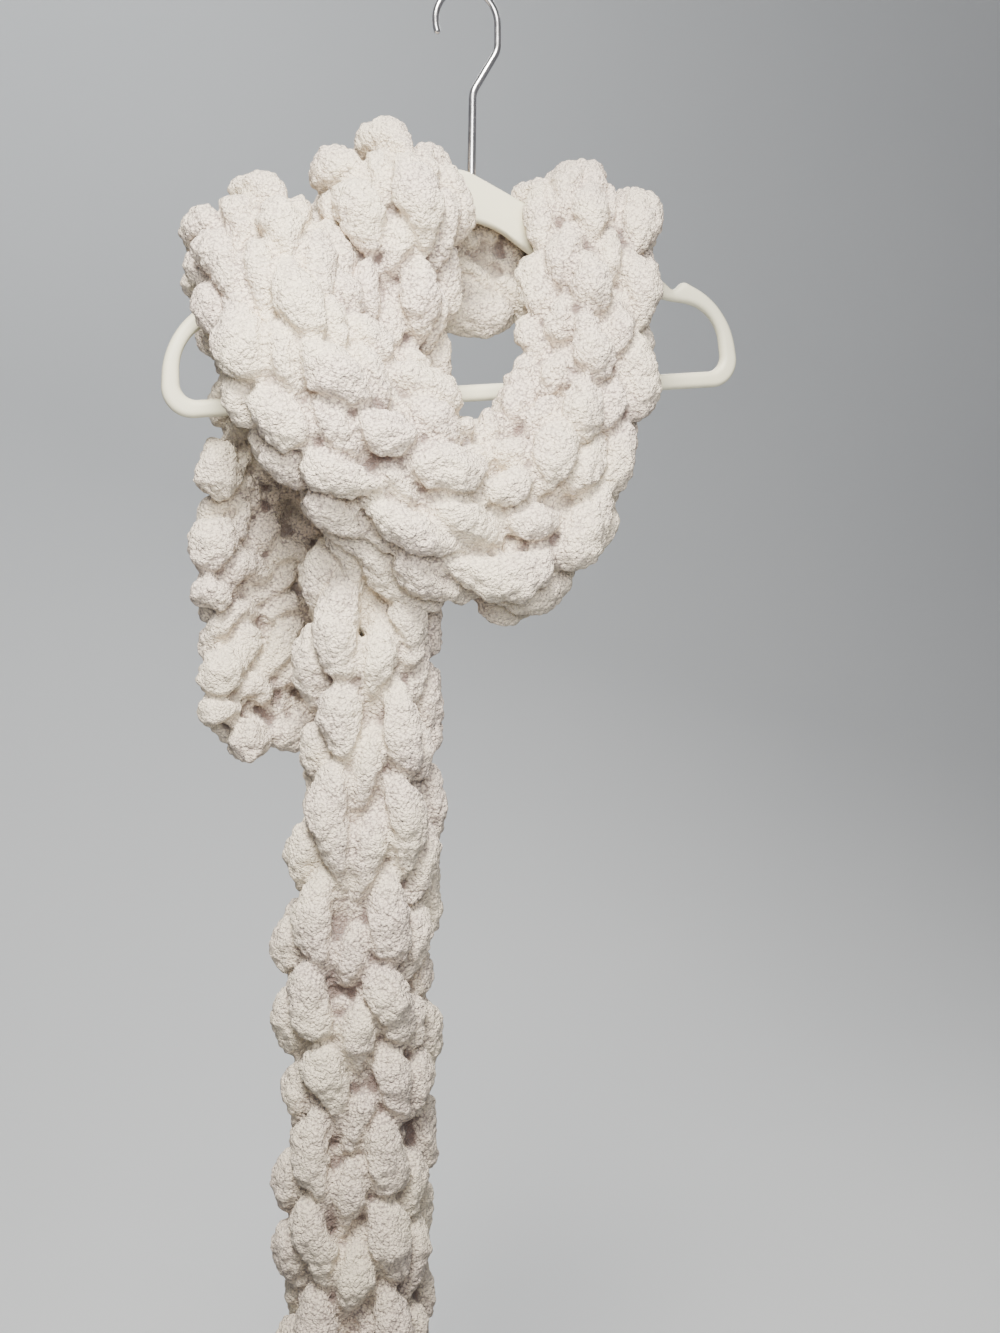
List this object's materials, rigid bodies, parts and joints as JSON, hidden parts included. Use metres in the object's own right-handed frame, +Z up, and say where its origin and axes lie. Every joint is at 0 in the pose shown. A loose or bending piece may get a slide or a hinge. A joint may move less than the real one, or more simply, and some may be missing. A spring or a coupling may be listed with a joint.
{
  "type": "knit scarf on a hanger",
  "caption": "Long scarf knitted from very thick tufted yarn, wound in a loop round a moulded clothes hanger with a wire hook, its long end hanging curled.",
  "frame": {"origin": "seat of the hook: the inside of its top, where it rests on a rail", "axes": "+X to the hanger's right end as seen from the front, +Y to the back, +Z up; the front of the scarf faces -Y"},
  "size_m": [0.4261, 0.1913, 1.1468],
  "materials": {
    "yarn": "tufted chenille pile, warm off-white, matt",
    "hanger": "moulded, ivory, satin",
    "hook": "bright wire"
  },
  "bodies": {
    "root": {"short_end": "yarn", "left_loop": "yarn", "front_cross": "yarn", "right_rise": "yarn", "neck_back": "yarn", "left_fall": "yarn", "long_tail": "yarn", "hanger_body": "hanger", "hook": "hook"}
  },
  "joints": []
}
